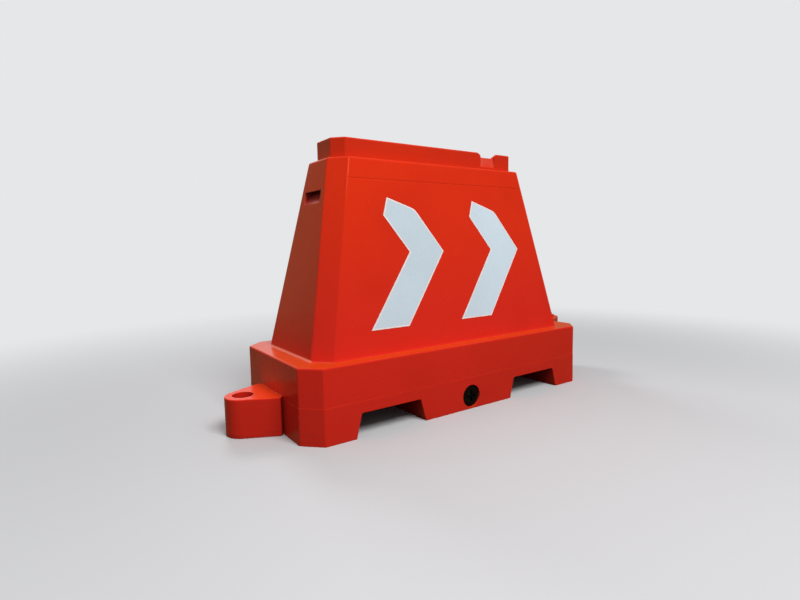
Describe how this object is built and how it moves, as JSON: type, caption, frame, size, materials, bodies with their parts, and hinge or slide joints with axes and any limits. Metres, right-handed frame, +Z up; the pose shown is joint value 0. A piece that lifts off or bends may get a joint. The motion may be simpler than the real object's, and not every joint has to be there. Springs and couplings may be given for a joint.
{
  "type": "chevron traffic barrier",
  "caption": "Hollow water-filled plastic traffic barrier with a stepped base, fork pockets, stacked coupling lugs, white chevrons, a drain plug and a filler cap in the rim.",
  "frame": {"origin": "on the ground, under the middle of the base", "axes": "+X along the barrier, towards the end with the upper lug and the filler; -Y out of the front face, the one with the drain plug; +Z up"},
  "size_m": [1.3378, 0.4604, 0.8],
  "materials": {
    "shell_plastic": "orange-red rotationally moulded polyethylene, satin",
    "reflective_sheet": "white prismatic reflective sheet",
    "insert_plastic": "black moulded-in insert",
    "seal_rubber": "black rubber",
    "fitting_plastic": "black moulded plastic",
    "galvanised_steel": "hot-dip galvanised",
    "coated_steel": "steel dipped in orange-red plastic"
  },
  "bodies": {
    "shell": {"body_shell": "shell_plastic", "chevron_front_left": "reflective_sheet", "chevron_front_right": "reflective_sheet", "chevron_rear_left": "reflective_sheet", "chevron_rear_right": "reflective_sheet", "filler_neck": "insert_plastic", "drain_bush": "insert_plastic"},
    "filler_ring": {"filler_seal": "seal_rubber"},
    "filler_top": {"filler_cap": "fitting_plastic"},
    "drain_ring": {"drain_seal": "seal_rubber"},
    "drain_head": {"drain_plug": "fitting_plastic"},
    "pin": {"pin_tube": "galvanised_steel", "pin_collar": "coated_steel", "pin_handle": "coated_steel", "pin_foot_plug": "fitting_plastic", "pin_top_plug": "fitting_plastic"}
  },
  "joints": [
    {"name": "filler_lift", "type": "slide", "parent": "shell", "child": "filler_ring", "axis": [0, 0, 1], "range_m": [0, 0.018]},
    {"name": "filler_turn", "type": "hinge", "parent": "filler_ring", "child": "filler_top", "pos_m": [0.221, 0, 0.773], "axis": [0, 0, 1], "range_deg": [0, 1080]},
    {"name": "drain_draw", "type": "slide", "parent": "shell", "child": "drain_ring", "axis": [0, -1, 0], "range_m": [0, 0.016]},
    {"name": "drain_turn", "type": "hinge", "parent": "drain_ring", "child": "drain_head", "pos_m": [0, -0.2175, 0.039], "axis": [0, -1, 0], "range_deg": [0, 1440]},
    {"name": "pin_lift", "type": "slide", "parent": "shell", "child": "pin", "axis": [0, 0, 1], "range_m": [0, 0.2]}
  ],
  "couplings": [
    {"joint": "filler_lift", "follows": "filler_turn", "m_per_rad": 0.0009549},
    {"joint": "drain_draw", "follows": "drain_turn", "m_per_rad": 0.0006366}
  ]
}
